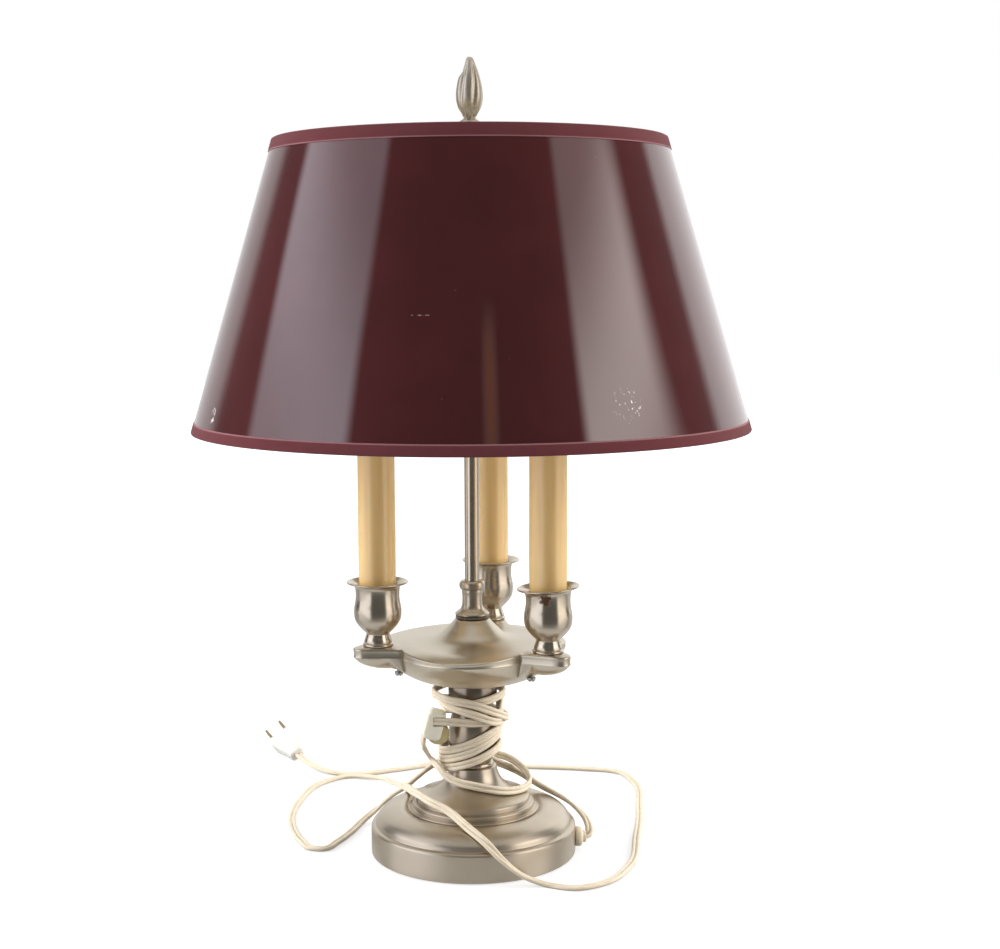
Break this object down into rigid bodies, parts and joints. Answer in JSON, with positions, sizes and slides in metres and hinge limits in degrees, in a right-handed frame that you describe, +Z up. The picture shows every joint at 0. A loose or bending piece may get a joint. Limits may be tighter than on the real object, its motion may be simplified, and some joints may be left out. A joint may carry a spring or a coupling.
{
  "type": "table lamp",
  "caption": "Candlestick table lamp with a metal stem and tray, candle sleeves, a conical drum shade, a flame finial and a flat cord with an inline switch and a plug.",
  "frame": {"origin": "centre of the base at the table, on the axis of the stem", "axes": "+Z up along the stem, -Y towards the front"},
  "size_m": [0.3566, 0.4188, 0.5137],
  "materials": {
    "brushed_nickel": "satin brushed, warm nickel tone",
    "plain_steel": "plain zinc-plated steel",
    "dark_ring": "knurled, darkened in the grooves",
    "cast_iron_weight": "rough cast",
    "felt": "green felt",
    "lacquered_shade": "deep maroon gloss lacquer on laminated paper",
    "trim_cloth": "woven tape",
    "candle_plastic": "glossy moulded, honey ivory",
    "bulb_glass": "clear glass",
    "cap_brass": "plain",
    "socket_phenolic": "moulded phenolic",
    "switch_plastic": "moulded, aged greenish ivory",
    "wheel_plastic": "moulded, yellowed",
    "cord_vinyl": "flexible vinyl, ivory",
    "plug_vinyl": "moulded vinyl, white"
  },
  "bodies": {
    "lamp": {"base_shell": "brushed_nickel", "base_weight": "cast_iron_weight", "base_felt": "felt", "base_washer": "plain_steel", "base_nut": "plain_steel", "cord_bushing": "cord_vinyl", "stem_foot": "brushed_nickel", "neck_ring": "brushed_nickel", "vase": "brushed_nickel", "tray_collar": "brushed_nickel", "threaded_rod": "plain_steel", "tray_pan": "brushed_nickel", "tray_nut": "plain_steel", "tray_cover": "brushed_nickel", "cover_screws": "plain_steel", "knurled_ring": "dark_ring", "column_collar": "brushed_nickel", "column_tube": "brushed_nickel", "top_stud": "plain_steel", "shade_seat": "brushed_nickel", "candle_cup_1": "brushed_nickel", "candle_cup_2": "brushed_nickel", "candle_cup_3": "brushed_nickel", "candle_nipple_1": "plain_steel", "candle_nipple_2": "plain_steel", "candle_nipple_3": "plain_steel", "nipple_nuts": "plain_steel", "socket_bracket_1": "plain_steel", "socket_bracket_2": "plain_steel", "socket_bracket_3": "plain_steel", "lamp_socket_1": "socket_phenolic", "lamp_socket_2": "socket_phenolic", "lamp_socket_3": "socket_phenolic", "candle_sleeve_1": "candle_plastic", "candle_sleeve_2": "candle_plastic", "candle_sleeve_3": "candle_plastic", "switch_front": "switch_plastic", "switch_back": "switch_plastic", "switch_screw": "plain_steel", "cord_lead": "cord_vinyl", "cord_winding": "cord_vinyl", "cord_tail": "cord_vinyl", "inner_cord": "cord_vinyl", "socket_leads": "cord_vinyl", "plug_body": "plug_vinyl", "plug_blades": "cap_brass"},
    "shade": {"shade_spider": "plain_steel", "top_wire_ring": "plain_steel", "bottom_wire_ring": "plain_steel", "shade_shell": "lacquered_shade", "top_trim": "trim_cloth", "bottom_trim": "trim_cloth"},
    "finial": {"finial": "brushed_nickel"},
    "switch_wheel": {"switch_wheel": "wheel_plastic"},
    "bulb_1": {"bulb_glass_1": "bulb_glass", "bulb_cap_1": "cap_brass"},
    "bulb_2": {"bulb_glass_2": "bulb_glass", "bulb_cap_2": "cap_brass"},
    "bulb_3": {"bulb_glass_3": "bulb_glass", "bulb_cap_3": "cap_brass"}
  },
  "joints": [
    {"name": "shade_turn", "type": "hinge", "parent": "lamp", "child": "shade", "pos_m": [0, 0, 0.4586], "axis": [0, 0, 1], "continuous": true},
    {"name": "finial_turn", "type": "hinge", "parent": "lamp", "child": "finial", "pos_m": [0, 0, 0.465], "axis": [0, 0, 1], "continuous": true},
    {"name": "switch_wheel_turn", "type": "hinge", "parent": "lamp", "child": "switch_wheel", "pos_m": [-0.02268, -0.014, 0.08249], "axis": [0, 1, 0], "continuous": true},
    {"name": "bulb_1_turn", "type": "hinge", "parent": "lamp", "child": "bulb_1", "pos_m": [0.01292, 0.06238, 0.27], "axis": [0, 0, 1], "continuous": true},
    {"name": "bulb_2_turn", "type": "hinge", "parent": "lamp", "child": "bulb_2", "pos_m": [-0.06048, -0.02, 0.27], "axis": [0, 0, 1], "continuous": true},
    {"name": "bulb_3_turn", "type": "hinge", "parent": "lamp", "child": "bulb_3", "pos_m": [0.04756, -0.04238, 0.27], "axis": [0, 0, 1], "continuous": true}
  ]
}
